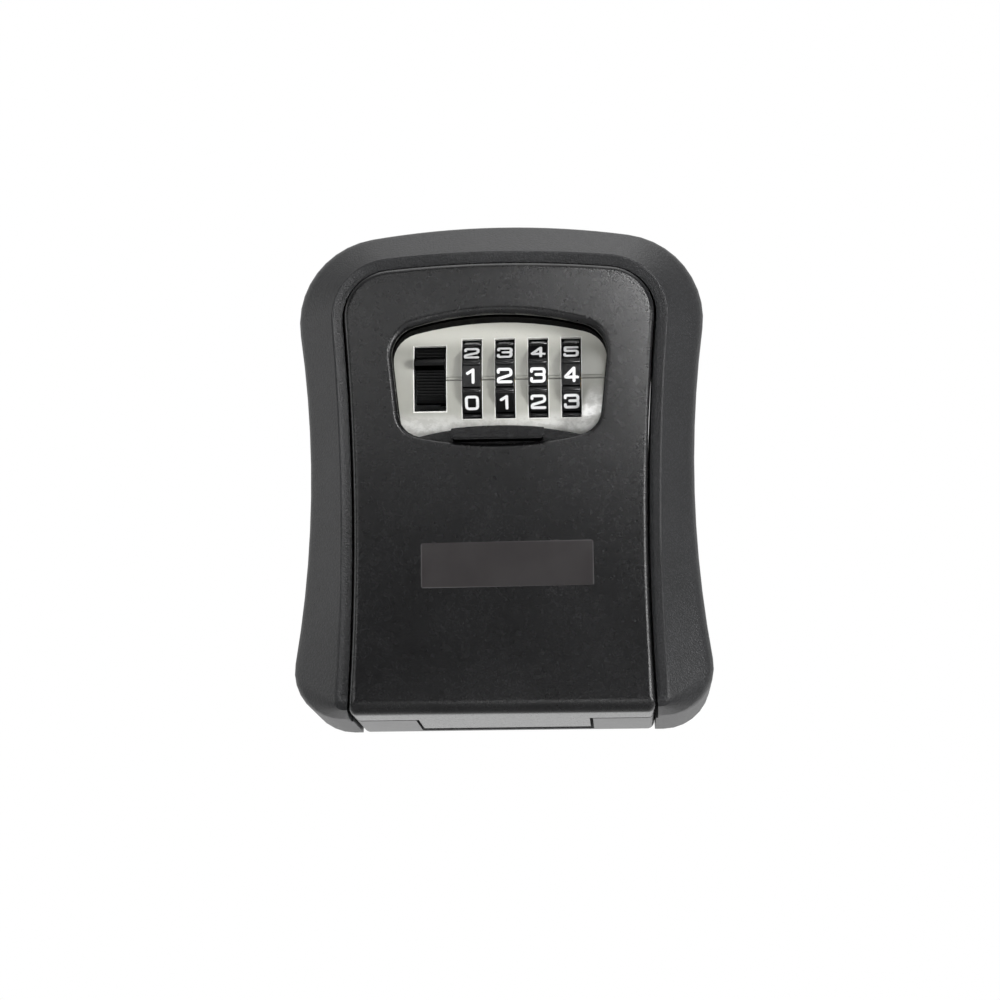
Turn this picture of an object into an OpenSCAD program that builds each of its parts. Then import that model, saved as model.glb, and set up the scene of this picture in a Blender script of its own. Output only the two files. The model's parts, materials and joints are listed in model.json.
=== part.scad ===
// Combination key safe for a wall. A cast back box is sleeved by a black moulded surround, and a
// bottom-hinged door carries a four-dial lock behind a sliding dust shutter.
// X runs to the right, Y into the wall and Z up. The wall is the plane Y = 0, and the origin is
// the centre of the four wall-screw holes. A depth is a distance out from the wall.

/* [Surround] */
// Width of the surround at its waist
surround_w = 87.9; // [87:0.1:91]
// Height of the crown above the wall-screw centre
surround_top = 57; // [56.5:0.5:60]
// Distance from the wall-screw centre down to the bottom face
bottom_drop = 57.5; // [56:0.5:62]
// Height of the waist above the wall-screw centre
waist_z = -3.7; // [-8:0.1:2]
// Radius of the bowed sides
waist_r = 251; // [245:1:300]
// Radius of the crown
crown_r = 192; // [180:1:240]
// Radius of the shoulders
shoulder_r = 20; // [17:0.5:21]
// Radius of the feet
foot_r = 11.2; // [9:0.1:12]
// Wall thickness of the moulding
surround_t = 2.2; // [1.8:0.1:2.4]
// Depth of the ridge round the door
ridge_d = 37; // [36.5:0.1:38]
// Width of the band between the ridge and the door gap
band_w = 2.4; // [1.8:0.1:3]
// Depth that the band falls from the ridge to the door gap
band_fall = 0.8; // [0.4:0.1:1.2]
// Radius of the outer edge, where the side turns into the slope
edge_r = 5.5; // [4:0.5:6.5]
// Thickness of the ribs inside the moulding
rib_t = 1.4; // [1:0.1:2]

/* [Door] */
// Width of the door at its waist
door_w = 65.9; // [65.4:0.1:66.4]
// Height of the door's top edge above the wall-screw centre
door_top = 45.6; // [45.2:0.1:46.2]
// Height of the door's waist above the wall-screw centre
door_waist_z = -20; // [-24:1:-16]
// Radius of the door's bowed sides
door_waist_r = 600; // [560:10:800]
// Radius of the door's crown
door_crown_r = 260; // [240:5:300]
// Radius of the door's shoulders
door_shoulder_r = 10.8; // [10:0.1:12]
// Radius of the door's bottom corners
door_foot_r = 1.6; // [1:0.1:2.5]
// Depth of the door's front face
door_d = 39; // [38.8:0.1:40]
// Depth of the open back edge of the door
door_back_d = 26; // [25.6:0.1:26.4]
// Wall thickness of the door
door_t = 2; // [1.8:0.1:2.1]
// Gap between the door and the surround
door_gap = 0.55; // [0.4:0.05:0.8]
// Radius of the door's front edges
door_edge_r = 1.3; // [0.8:0.1:1.6]
// Radius of the door's bottom front edge
door_lip_r = 3; // [2:0.1:3.4]

/* [Window] */
// Height of the top of the window
window_top = 33.7; // [33.5:0.1:33.9]
// Height of the bottom of the window
window_bottom = 3.4; // [3:0.1:3.6]
// Widest width of the window, at its upper corners
window_w = 48.8; // [48.4:0.1:49.4]
// Width of the window between its lower corners
window_low_w = 46; // [45.4:0.2:46.8]
// Radius of the window's top arch
window_top_r = 70; // [66:1:80]
// Radius of the window's bottom arch
window_bottom_r = 85; // [78:1:100]
// Radius of the window's upper corners
window_high_r = 7; // [6:0.5:8]
// Radius of the window's lower corners
window_low_r = 6; // [4.5:0.5:6.5]
// Radius of the window's rounded rim
rim_r = 1.2; // [0.8:0.1:1.4]
// How much further the rim reaches above the window than beside it
rim_lift = 0.6; // [0:0.1:0.8]

/* [Back box] */
// Depth of the box's front edge
box_d = 24.8; // [24:0.1:25]
// Wall thickness of the box
box_t = 2.4; // [2:0.1:2.8]
// Thickness of the back plate
back_t = 3; // [2.5:0.1:3.2]
// Radius of the box's back edges
box_edge_r = 1.2; // [0.6:0.1:1.6]
// Spacing of the wall screws across
wall_hole_x = 40; // [34:0.5:44]
// Spacing of the wall screws up and down
wall_hole_z = 50; // [44:0.5:56]
// Radius of the wall-screw holes
wall_hole_r = 2.6; // [2:0.1:3]
// Height of the flat roof inside the box
roof_z = 42; // [41.8:0.1:42.2]

/* [Hinge] */
// Depth of the hinge pin
hinge_d = 8; // [7.8:0.1:9]
// Radius of the door's knuckle
knuckle_r = 4.5; // [4:0.1:4.6]
// Width of the door's hinge leaf
leaf_w = 38.6; // [34:0.2:42]
// Thickness of the hinge leaf
leaf_t = 3.2; // [2.6:0.1:3.6]
// Gap on each side of the leaf
leaf_gap = 0.7; // [0.4:0.1:1.2]
// Radius of the hinge pin
pin_r = 1.5; // [1.2:0.1:1.8]
// Length of the hinge pin
pin_len = 60; // [56:0.5:61]

/* [Lock] */
// Height of the dial axis above the wall-screw centre
dial_z = 20; // [19.8:0.1:20.2]
// Distance of the dial axis behind the top of the face plate's bulge
dial_inset = 7.85; // [7.8:0.05:7.9]
// Distance of the first dial's middle to the left of the centre
first_dial_x = -6.5; // [-6.6:0.05:-6.3]
// Spacing of the dials
dial_pitch = 7.58; // [7.5:0.01:7.62]
// Radius over the dials' edges
dial_r = 10.3; // [10.1:0.05:10.35]
// Width of a dial
dial_w = 4.1; // [3.9:0.05:4.2]
// Radius of a dial's bore
dial_bore_r = 2.8; // [2.75:0.05:2.9]
// Radius of the grooves between the digits
groove_r = 0.8; // [0.5:0.1:1]
// Width of the slots that the dials show through
slot_w = 4.55; // [4.5:0.05:4.8]
// Height of the slots that the dials show through
slot_h = 18.8; // [18.2:0.1:19]
// Radius of the face plate's bulge
face_r = 30; // [29.5:0.1:31]
// Distance of the top of the bulge behind the door's front
face_inset = 6.5; // [6.3:0.1:6.7]
// Width of the raised bead between the dials
index_w = 0.8; // [0.6:0.05:1]
// Height of the raised bead
index_h = 0.35; // [0.2:0.05:0.4]
// Thickness of the face plate
face_t = 1.5; // [1.2:0.1:1.5]
// Radius of the combination cams
cam_r = 6.2; // [6:0.05:6.3]
// Thickness of a combination cam
cam_t = 1; // [0.8:0.05:1.1]
// Width of the gate in a cam
gate_w = 2.6; // [2.4:0.1:3]
// Radius of the dogs that couple a cam to its dial
dog_r = 0.7; // [0.6:0.05:0.8]
// Radius of the circle that the dogs stand on
dog_circle_r = 4.7; // [4.5:0.05:4.9]
// Radius of the dial shaft
shaft_r = 1.5; // [1.3:0.05:1.6]
// Sideways travel of the shaft when the code is changed
change_travel = 1.6; // [1.5:0.05:1.7]

/* [Latch] */
// Downward travel of the release slider and its latch plate
latch_travel = 3.5; // [3:0.1:3.5]
// Thickness of the latch plate
latch_t = 1.2; // [1:0.1:1.2]
// Width of a bolt
bolt_w = 6; // [5:0.2:7]
// Distance of a bolt's middle from the centre
bolt_x = 14; // [13:0.2:15]
// Height of the bolts' tips when the latch is shut
bolt_top = 43.9; // [43.7:0.1:44]
// Width of the slot for the release slider
slider_slot_w = 7.4; // [7.2:0.1:7.8]
// Height of the slot for the release slider
slider_slot_h = 15.4; // [15.2:0.1:15.6]
// Distance of the release slider's middle to the left of the centre
slider_x = -16.1; // [-16.2:0.1:-15.9]
// Number of grip grooves below the slider's bump
grips = 10; // [8:1:10]

/* [Shutter] */
// How far the shutter reaches past the window on each side
shutter_lap = 1.6; // [1.4:0.1:1.7]
// Thickness of the shutter
shutter_t = 1.5; // [1.2:0.1:1.6]
// Height of the shutter's top edge when it is down
shutter_top = 7.8; // [7.7:0.1:7.9]
// Height of the shutter's bottom edge when it is down
shutter_bottom = -24.6; // [-25:0.1:-24]
// Radius of the shutter's arched top edge
shutter_r = 77; // [72:1:84]
// Width of the finger tab
tab_w = 21.2; // [19:0.2:22]
// Height of the finger tab
tab_h = 3.1; // [2.8:0.1:3.2]
// Distance of the finger tab's middle to the left of the centre
tab_x = -0.4; // [-0.6:0.1:0]
// How far the finger tab stands out from the door's front
tab_proud = 1.3; // [1:0.1:1.6]
// Upward travel of the shutter
shutter_travel = 26; // [25.8:0.1:26]

/* [Fits] */
// Radial clearance of a shaft or pin in its bore
shaft_clear = 0.05; // [0.03:0.01:0.08]
// Clearance between sliding faces
slide_clear = 0.2; // [0.15:0.05:0.3]
// Clearance between a screw and its hole
screw_clear = 0.1; // [0.05:0.05:0.2]
// Radius of the case and surround screws
screw_r = 1.3; // [1:0.1:1.4]

/* [Hidden] */
$fn = 48;
EPS = 0.01;
BIG = 200;

// The shapes below hold the half width at the waist, the waist's height, the radius of the
// sides, the top, the radii of the crown and shoulders, the bottom and the radius of the feet.
surround_shape = [surround_w / 2, waist_z, waist_r, surround_top, crown_r, shoulder_r,
    -bottom_drop, foot_r];
door_shape = [door_w / 2, door_waist_z, door_waist_r, door_top, door_crown_r, door_shoulder_r,
    -bottom_drop, door_foot_r];
sharp_r = 0.4;
opening_shape = inset(door_shape, -door_gap, -BIG / 10, sharp_r);
ridge_shape = inset(door_shape, -door_gap - band_w, 0, door_foot_r);
ridge_in = surround_shape[0] - ridge_shape[0];
edge_turn = 45;
edge_d = ridge_d - ridge_in + edge_r * (1 - cos(edge_turn)) - edge_r * sin(edge_turn);

// Wall of the moulding round the door opening, and the screw ears of the box that pass under it
sleeve_t = 1.8;
sleeve_gap = 0.1;
sleeve_front_d = box_d - 0.3;
ear_t = 2.5;
ear_w = 8;
ear_x = surround_w / 2 - 4.35;
ear_root = door_w / 2 - box_t;
ear_z = [30, -40];
ear_clear = 0.3;
ear_boss_r = 2.9;
ear_boss_d = 22;
ear_screw_d = 16;
screw_head_r = 2.6;
screw_head_t = 1.5;
rib_z = [-24, -8, 8, 20];
rib_x = [-22, 0, 22];

// Cross in a screw head
cross_w = 0.5;
cross_t = 0.7;

// Back box and its hinge
floor_t = 2.5;
hinge_z = -bottom_drop + knuckle_r;
boss_gap = leaf_w / 2 + leaf_gap;
pin_clear_r = pin_r + shaft_clear;
counterbore_r = 5;
counterbore_t = 0.8;

// Dials and cams. A cam's places along X are counted from its dial's middle.
dials = 4;
digits = 10;
dial_x = [for (i = [0:dials - 1]) first_dial_x + i * dial_pitch];
slot_z = dial_z + 0.2;
face_w = window_w + 2.4;
index_gap = 0.15;
disc_x = dial_w / 2 + 0.3;
hub_x = -dial_w / 2 + 0.05;
hub_r = dial_bore_r - shaft_clear - 0.03;
dog_len = 1;
cam_gap = 0.1;
spacer_r = 2.4;
shaft_bore_r = shaft_r + shaft_clear;

// Depths of the lock's layers, from the door's front backwards
skin_d = door_d - door_t;
face_d = door_d - face_inset;
face_axis_d = face_d - face_r;
dial_d = face_d - dial_inset;
flange_inset = 7;
flange_d = face_d - flange_inset;
flange_t = 1.5;
face_flange_d = flange_d + flange_t;
latch_inset = 10.25;
latch_d = dial_d - latch_inset;
case_in_d = latch_d - 2 * slide_clear;
case_t = 1.5;
case_d = case_in_d - case_t;
shutter_d = skin_d - slide_clear - shutter_t;
lip_d = shutter_d - 0.3;
rail_lip_t = 1.2;
guard_t = 1.2;
guard_d = lip_d - rail_lip_t - guard_t;

// Steps round the window's rim
rim_turns = [0, 25, 50, 70];

// Outline of the lock case and its flange
flange_w = 61.2;
flange_low = -2;
flange_high = 40.4;
flange_r = 3.5;
case_w = 53.2;
case_low = -1;
case_high = 40.2;
case_r = 3;
case_screw_x = 28.6;
case_screw_z = [0.5, 37.4];
case_boss_r = 2.2;
case_screw_end_d = skin_d - 2;
case_head_r = 2;
case_head_t = 1.3;

// Latch plate. Its bar stays clear of the dials when the latch is down.
bar_low = dial_z + 7.9 + latch_travel;
bar_high = bar_low + 4.5;
tooth_z = dial_z + cam_r + 0.3;
arm_d = dial_d + 1;
tooth_w = 2.2;
lug_t = 0.9;
stem_x = [-19.5, -15];
right_bar_x = [21.3, 23.8];
shelf_z = 10;
shelf_t = 1.2;
shelf_d = dial_d - 3.05;
latch_screw_r = 1;
latch_screw_z = dial_z + 4;
latch_screw_end_d = dial_d - 1.65;
latch_head_r = 1.8;
latch_head_t = 0.9;
latch_coil_r = 1.8;
latch_wire_r = 0.25;
latch_coil_turns = 7;
latch_coil_d = dial_d - 5.85;

// Release slider. Its face is a height above its lower end and a depth in front of the bulge.
slider_low = dial_z - 4.95;
slider_slot_z = dial_z + 0.3;
slider_len = 16.5;
slider_ease = 0.3;
slider_face = [[0, -3.3], [1.9, -3.1], [3.8, -2.2], [5.4, -1.2], [7, -0.2], [7.3, 1],
    [7.7, 1.7], [8.4, 2], [9.1, 1.7], [9.5, 0.8], [9.8, -1.3], [12, -2.5],
    [slider_len, -4.3]];
slider_back_d = face_d - 5.3;
slider_stem_z = [dial_z + 1, dial_z + 7];
grip_low = 0.9;
grip_pitch = 0.62;
grip_w = 0.26;
grip_cut = 0.35;
high_grips = [10.7, 11.6, 12.5];

// Shutter and the plate behind it
shutter_w = window_w + 2 * shutter_lap;
tab_d = door_d + tab_proud;
guard_low = -31;
guard_high = -2.6;
guard_w = 57;
guard_screw_x = 20;
guard_screw_z = -28.8;
guard_screw_r = 1;
guard_boss_r = 1.9;
guard_screw_end_d = skin_d - 1;
guard_head_r = 1.9;
guard_head_t = 1;
rail_x = shutter_w / 2 + 0.3;
rail_t = 1.2;
rail_low = shutter_bottom - 1.5;
rail_high = shutter_top + shutter_travel - 0.4;
rail_lip_w = 1.3;
tab_high = shutter_top - 0.5;
tab_arch_r = 97;
tab_end_r = 1.3;
tab_edge = 0.3;

// Shaft, its support and its spring
support_x = -11.8;
support_t = 1.4;
support_front_d = dial_d + 2.4;
support_z = [dial_z - 5, dial_z + 4];
support_foot_d = dial_d - 5.65;
fork_x = -14.6;
fork_t = 1;
shaft_left = -15;
collar_t = 1.4;
collar_x = first_dial_x + hub_x - 0.15 - collar_t;
clip_x = dial_x[dials - 1] + disc_x + cam_t + 0.15;
clip_t = 0.8;
fork_h = 4.4;
neck_r = 1;
shaft_coil_r = 1.95;
shaft_wire_r = 0.2;
shaft_coil_turns = 4;

// Code-change lever on the back of the case
lever_x = [-17.5, -9.5];
lever_h = 6;
lever_t = 1.4;
lever_gap = 0.2;
knob_t = 1.8;
knob_x = -15.6;
knob_ribs = 4;
knob_pitch = 1.3;
knob_rib_w = 0.6;
knob_cut = 0.7;
knob_edge = 0.5;
guide_t = 1.2;
guide_w = 1.2;
guide_gap = 0.3;

// Spring comb under the dials
detent_z = 1.9;
detent_t = 0.4;
detent_screw_r = 0.9;
detent_head_r = 1.6;
detent_head_t = 0.9;
detent_screw_d = dial_d - 8.25;
detent_screw_x = [for (i = [0, 2]) first_dial_x + (i + 0.5) * dial_pitch];
detent_ledge_d = dial_d - 6.05;
detent_x = [-8.6, 18.6];
finger_w = 2.6;
finger_h = 1.6;
finger_flat = 0.2;
finger_gap = 0.35;

// Strike plate under the roof of the box
strike_t = 1.3;
strike_w = 40;
strike_back_d = 6;
strike_front_d = 22.5;
strike_screw_x = 5;
strike_screw_d = 10;
strike_head_r = 2.2;
strike_head_t = 1;
strike_screw_len = 3.6;

// Label on the door
label_w = 38.6;
label_h = 10.2;
label_x = 1.5;
label_z = -24.2;
label_t = 0.15;
label_tilt = 0.4;

// Point on a circle, and an arc of n steps from one angle to another
function on_circle(c, r, a) = [c[0] + r * cos(a), c[1] + r * sin(a)];
function arc(c, r, a0, a1, n) = [for (i = [0:n]) on_circle(c, r, a0 + (a1 - a0) * i / n)];

// Direction of a vector, from 0 to 360 degrees
function turn(v) = (atan2(v[1], v[0]) + 360) % 360;

// The upper point that lies at distance a from p and b from q
function meet(p, a, q, b) =
    let(d = norm(q - p), u = (q - p) / d, s = (a * a - b * b + d * d) / (2 * d),
        h = sqrt(a * a - s * s), n = u[0] > 0 ? [-u[1], u[0]] : [u[1], -u[0]])
    p + u * s + n * h;

// A right half, from the top centre to the bottom centre, with its mirror image
function both_sides(half) =
    concat(half, [for (i = [len(half) - 2:-1:1]) [-half[i][0], half[i][1]]]);

// A shape drawn in by d, with its bottom raised by e and feet of the given radius
function inset(s, d, e, feet) =
    [s[0] - d, s[1], s[2] + d, s[3] - d, s[4] - d, s[5] - d, s[6] + e, feet];

// Outline of a shape with bowed sides, clockwise from the top centre
function waisted(s) =
    let(side = [s[0] + s[2], s[1]], crown = [0, s[3] - s[4]],
        shoulder = meet(side, s[2] + s[5], crown, s[4] - s[5]),
        foot_z = s[6] + s[7],
        foot = [side[0] - sqrt(pow(s[2] + s[7], 2) - pow(foot_z - side[1], 2)), foot_z],
        high = turn(shoulder - side), low = turn(foot - side),
        crown_a = turn(shoulder - crown))
    both_sides(concat(
        [for (i = [0:7]) on_circle(crown, s[4], 90 + (crown_a - 90) * i / 8)],
        arc(shoulder, s[5], crown_a, high - 180, 10),
        [for (i = [1:9]) on_circle(side, s[2], high + (low - high) * i / 10)],
        arc(foot, s[7], low - 180, -90, 8),
        [[0, s[6]]]));

// Outline of the window, drawn in by d, with its top raised by lift
function window(d = 0, lift = 0) =
    let(top = [0, window_top + lift - window_top_r],
        bottom = [0, window_bottom + window_bottom_r],
        hx = window_w / 2 - window_high_r, lx = window_low_w / 2 - window_low_r,
        high = [hx, top[1] + sqrt(pow(window_top_r - window_high_r, 2) - hx * hx)],
        low = [lx, bottom[1] - sqrt(pow(window_bottom_r - window_low_r, 2) - lx * lx)],
        side = atan2(low[1] - high[1], low[0] - high[0])
            + acos((window_high_r - window_low_r) / norm(low - high)),
        ta = atan2(high[1] - top[1], high[0]), ba = atan2(low[1] - bottom[1], low[0]))
    both_sides(concat(
        [for (i = [0:4]) on_circle(top, window_top_r - d, 90 + (ta - 90) * i / 5)],
        arc(high, window_high_r - d, ta, side, 7),
        arc(low, window_low_r - d, side, ba, 6),
        [for (i = [1:5]) on_circle(bottom, window_bottom_r - d, ba + (-90 - ba) * i / 5)]));

// Outline of the window's rim, t of the way from the wall to the door's front
function window_rim(t) = window(-rim_r * t, rim_lift * t);

// Solid through outlines of equal length, each with its depth, from back to front
module loft(depths, outlines) {
    n = len(outlines[0]);
    k = len(outlines);
    polyhedron(
        points = [for (j = [0:k - 1]) for (p = outlines[j]) [p[0], -depths[j], p[1]]],
        faces = concat(
            [[for (i = [n - 1:-1:0]) i], [for (i = [0:n - 1]) (k - 1) * n + i]],
            [for (j = [0:k - 2]) for (i = [0:n - 1])
                [j * n + i, j * n + (i + 1) % n, (j + 1) * n + (i + 1) % n]],
            [for (j = [0:k - 2]) for (i = [0:n - 1])
                [j * n + i, (j + 1) * n + (i + 1) % n, (j + 1) * n + i]]));
}

// A drawing in X and Z, made solid between two depths
module slab(back, front) {
    translate([0, -back, 0]) rotate([90, 0, 0]) linear_extrude(front - back) children();
}

// A drawing in Y and Z, made solid between two places along X
module along_x(left, right) {
    translate([left, 0, 0]) rotate([90, 0, 90]) linear_extrude(right - left) children();
}

// A drawing in X and Y, made solid between two heights
module upright(low, high) {
    translate([0, 0, low]) linear_extrude(high - low) children();
}

// A box between two places along X, two depths and two heights
module block(x, depth, z) {
    translate([x[0], -depth[1], z[0]]) cube([x[1] - x[0], depth[1] - depth[0], z[1] - z[0]]);
}

// A round bar along Y between two depths
module rod(x, z, r, back, front) {
    translate([x, 0, z]) slab(back, front) circle(r);
}

// A rectangle with round corners, given by its half width and its two heights
module rounded(half_w, low, high, r) {
    for (sx = [-1, 1], z = [low + r, high - r])
        translate([sx * (half_w - r), z]) circle(r);
    translate([-half_w + r, low]) square([2 * (half_w - r), high - low]);
    translate([-half_w, low + r]) square([2 * half_w, high - low - 2 * r]);
}

// A countersunk screw whose head is at the given depth and whose point is nearer the door
module flat_screw(x, z, r, head_r, head_t, back, tip) {
    translate([x, -back, z]) rotate([90, 0, 0]) {
        difference() {
            union() {
                cylinder(r1 = head_r, r2 = r, h = head_t);
                cylinder(r = r, h = tip - back);
            }
            cross_recess(head_r);
        }
    }
}

// The cross in a screw head
module cross_recess(head_r) {
    for (a = [0, 90])
        rotate(a) translate([-head_r / 2, -cross_w / 2, -EPS]) cube([head_r, cross_w, cross_t]);
}

// The hole for such a screw
module flat_hole(x, z, r, head_r, head_t, back, tip) {
    translate([x, -back, z]) rotate([90, 0, 0]) {
        cylinder(r1 = head_r + screw_clear, r2 = r + screw_clear, h = head_t);
        cylinder(r = r + screw_clear, h = tip - back);
        mirror([0, 0, 1]) cylinder(r = head_r + screw_clear, h = back_t);
    }
}

// Coil of round wire along Z, with its ends flat on the seats
module coil(r, wire_r, turns, len) {
    sides = 6;
    steps = ceil(turns * 12);
    rise = len - 2 * wire_r;
    ring = [for (k = [0:sides - 1]) [r + wire_r * cos(k * 60), wire_r * sin(k * 60)]];
    polyhedron(
        points = [for (i = [0:steps]) for (p = ring)
            let(a = 360 * turns * i / steps)
            [p[0] * cos(a), p[0] * sin(a), wire_r + rise * i / steps + p[1]]],
        faces = concat(
            [[for (k = [sides - 1:-1:0]) k], [for (k = [0:sides - 1]) steps * sides + k]],
            [for (i = [0:steps - 1]) for (k = [0:sides - 1])
                [i * sides + k, i * sides + (k + 1) % sides, (i + 1) * sides + k]],
            [for (i = [0:steps - 1]) for (k = [0:sides - 1])
                [i * sides + (k + 1) % sides, (i + 1) * sides + (k + 1) % sides,
                    (i + 1) * sides + k]]));
}

// How far the front of the bottom is drawn up at a depth, to round the lip
function lip_rise(depth, front) =
    let(over = max(0, depth - front + door_lip_r))
    door_lip_r - sqrt(pow(door_lip_r, 2) - pow(over, 2));

// Outline of the surround at a depth, t of the way from the outer edge to the ridge
function surround_ring(depth, t) =
    waisted(inset(surround_shape, 0, lip_rise(depth, ridge_d), foot_r)) * (1 - t)
    + waisted(inset(ridge_shape, 0, lip_rise(depth, ridge_d), door_foot_r)) * t;

module surround_body() {
    turns = [0, 15, 30, edge_turn];
    depths = concat([0], [for (a = turns) edge_d + edge_r * sin(a)],
        [ridge_d - 0.55, ridge_d - 0.1, ridge_d, ridge_d - band_fall]);
    rings = concat(
        [waisted(surround_shape)],
        [for (a = turns)
            surround_ring(edge_d + edge_r * sin(a), edge_r * (1 - cos(a)) / ridge_in)],
        [surround_ring(ridge_d - 0.55, 0.93), surround_ring(ridge_d - 0.1, 0.98),
            surround_ring(ridge_d, 1.03),
            waisted(inset(door_shape, 0, door_lip_r, door_foot_r))]);
    loft(depths, rings);
}

// The hollow in the moulding, open at the wall
module surround_hollow() {
    t = surround_t;
    outer = waisted(inset(surround_shape, t, t, foot_r - t));
    inner = waisted(inset(ridge_shape, 0, t, door_foot_r));
    bend_d = edge_d - t + edge_r / 2;
    top_d = ridge_d - t * 1.4;
    difference() {
        loft([-1, bend_d, top_d], [outer, outer, inner]);
        slab(-2, ridge_d) polygon(waisted(inset(opening_shape, -sleeve_t, 0, sharp_r)));
        for (z = rib_z)
            block([-BIG, BIG], [1, ridge_d], [z - rib_t / 2, z + rib_t / 2]);
        for (x = rib_x)
            block([x - rib_t / 2, x + rib_t / 2], [1, ridge_d], [door_top, surround_top]);
        for (sx = [-1, 1], z = ear_z)
            rod(sx * ear_x, z, ear_boss_r, ear_t + ear_clear, ridge_d);
    }
}

module surround() color([0.2, 0.2, 0.21]) {
    difference() {
        surround_body();
        surround_hollow();
        slab(-1, ridge_d + 1)
            polygon(waisted(inset(door_shape, -sleeve_gap, -BIG / 10, sharp_r)));
        slab(sleeve_front_d, ridge_d + 1) polygon(waisted(opening_shape));
        for (sx = [-1, 1], z = ear_z) {
            mirror([sx < 0 ? 1 : 0, 0, 0])
                block([ear_root, ear_x + ear_w / 2 + ear_clear], [-1, ear_t + ear_clear],
                    [z - ear_w / 2 - ear_clear, z + ear_w / 2 + ear_clear]);
            rod(sx * ear_x, z, screw_r + screw_clear, 0, ear_boss_d);
        }
    }
}

module surround_screws() color("silver")
    for (sx = [-1, 1], z = ear_z)
        flat_screw(sx * ear_x, z, screw_r, screw_head_r, screw_head_t, 0.2, ear_screw_d);

// Back box with its screw ears, hinge bosses and bolt slots
module rear_housing() color([0.3, 0.3, 0.31]) {
    e = box_edge_r;
    difference() {
        union() {
            loft([0, 0.3 * e, e, box_d],
                [for (d = [e, 0.3 * e, 0, 0]) waisted(inset(door_shape, d, d, door_foot_r))]);
            for (sx = [-1, 1], z = ear_z) {
                rod(sx * ear_x, z, ear_w / 2, 0, ear_t);
                mirror([sx < 0 ? 1 : 0, 0, 0])
                    block([ear_root, ear_x], [0, ear_t], [z - ear_w / 2, z + ear_w / 2]);
            }
        }
        difference() {
            slab(back_t, BIG) intersection() {
                polygon(waisted(inset(door_shape, box_t, floor_t, 1)));
                translate([-BIG / 2, -BIG + roof_z]) square(BIG);
            }
            hinge_bosses();
        }
        block([-boss_gap, boss_gap], [back_t, BIG], [-BIG, -bottom_drop + knuckle_r]);
        along_x(-pin_len / 2 - 0.2, BIG) translate([-hinge_d, hinge_z]) circle(pin_clear_r);
        for (sx = [-1, 1], sz = [-1, 1]) {
            rod(sx * wall_hole_x / 2, sz * wall_hole_z / 2, wall_hole_r, -1, BIG);
            rod(sx * wall_hole_x / 2, sz * wall_hole_z / 2, counterbore_r,
                back_t - counterbore_t, back_t + 1);
        }
        for (sx = [-1, 1]) bolt_slot(sx, roof_z - 1, bolt_top + 0.3);
        for (sx = [-1, 1], z = ear_z)
            flat_hole(sx * ear_x, z, screw_r, screw_head_r, screw_head_t, 0.2, ear_t + 1);
        strike_holes();
    }
}

module hinge_bosses() {
    for (x = [[-BIG, -boss_gap], [boss_gap, BIG]]) {
        along_x(x[0], x[1]) translate([-hinge_d, hinge_z]) circle(knuckle_r - 0.2);
        block(x, [0, hinge_d + knuckle_r - 0.2], [-bottom_drop, hinge_z]);
    }
}

// Slot that a bolt enters, with room all round it
module bolt_slot(sx, low, high) {
    room = 0.4;
    block([sx * bolt_x - bolt_w / 2 - room, sx * bolt_x + bolt_w / 2 + room],
        [latch_d - room, latch_d + latch_t + room], [low, high]);
}

// Plate under the roof of the box that the bolts catch behind
module strike_plate() color("silver") {
    z = roof_z - strike_t;
    difference() {
        block([-strike_w / 2, strike_w / 2], [strike_back_d, strike_front_d], [z, roof_z]);
        for (sx = [-1, 1]) bolt_slot(sx, z - 1, roof_z + 1);
        strike_holes();
    }
}

module strike_holes() {
    for (sx = [-1, 1]) translate([sx * strike_screw_x, -strike_screw_d, roof_z - strike_t]) {
        translate([0, 0, -EPS])
            cylinder(r1 = strike_head_r + screw_clear, r2 = screw_r + screw_clear,
                h = strike_head_t);
        cylinder(r = screw_r + screw_clear, h = strike_screw_len + 0.2);
    }
}

module strike_screws() color("silver")
    for (sx = [-1, 1]) translate([sx * strike_screw_x, -strike_screw_d, roof_z - strike_t])
        difference() {
            union() {
                cylinder(r1 = strike_head_r, r2 = screw_r, h = strike_head_t);
                cylinder(r = screw_r, h = strike_screw_len);
            }
            cross_recess(strike_head_r);
        }

module hinge_pin() color("silver")
    along_x(-pin_len / 2, pin_len / 2) translate([-hinge_d, hinge_z]) circle(pin_r);

// Outline of the door at a depth, with its front edges rounded
function door_ring(depth) =
    let(r = door_edge_r, over = max(0, depth - door_d + r), d = r - sqrt(r * r - over * over))
    waisted(inset(door_shape, d, lip_rise(depth, door_d), max(door_foot_r - d, 0.3)));

module door_shell() {
    depths = concat([door_back_d, door_d - door_lip_r],
        [for (a = [20, 40, 56]) door_d - door_lip_r * (1 - sin(a))],
        [for (a = [35, 60, 90]) door_d - door_edge_r * (1 - sin(a))]);
    difference() {
        loft(depths, [for (d = depths) door_ring(d)]);
        slab(0, skin_d) polygon(waisted(inset(door_shape, door_t, door_t, door_foot_r)));
        loft(concat([0], [for (a = rim_turns) door_d - rim_r * (1 - sin(a))], [door_d + EPS]),
            concat([window()], [for (a = rim_turns) window_rim(1 - cos(a))], [window_rim(1)]));
    }
}

// Leaf along the bottom of the door, ending in the knuckle round the pin
module hinge_leaf() {
    along_x(-leaf_w / 2, leaf_w / 2) difference() {
        union() {
            translate([-hinge_d, hinge_z]) circle(knuckle_r);
            translate([-door_back_d - door_t, -bottom_drop])
                square([door_back_d + door_t - hinge_d, leaf_t]);
        }
        translate([-hinge_d, hinge_z]) circle(pin_clear_r);
    }
}

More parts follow.
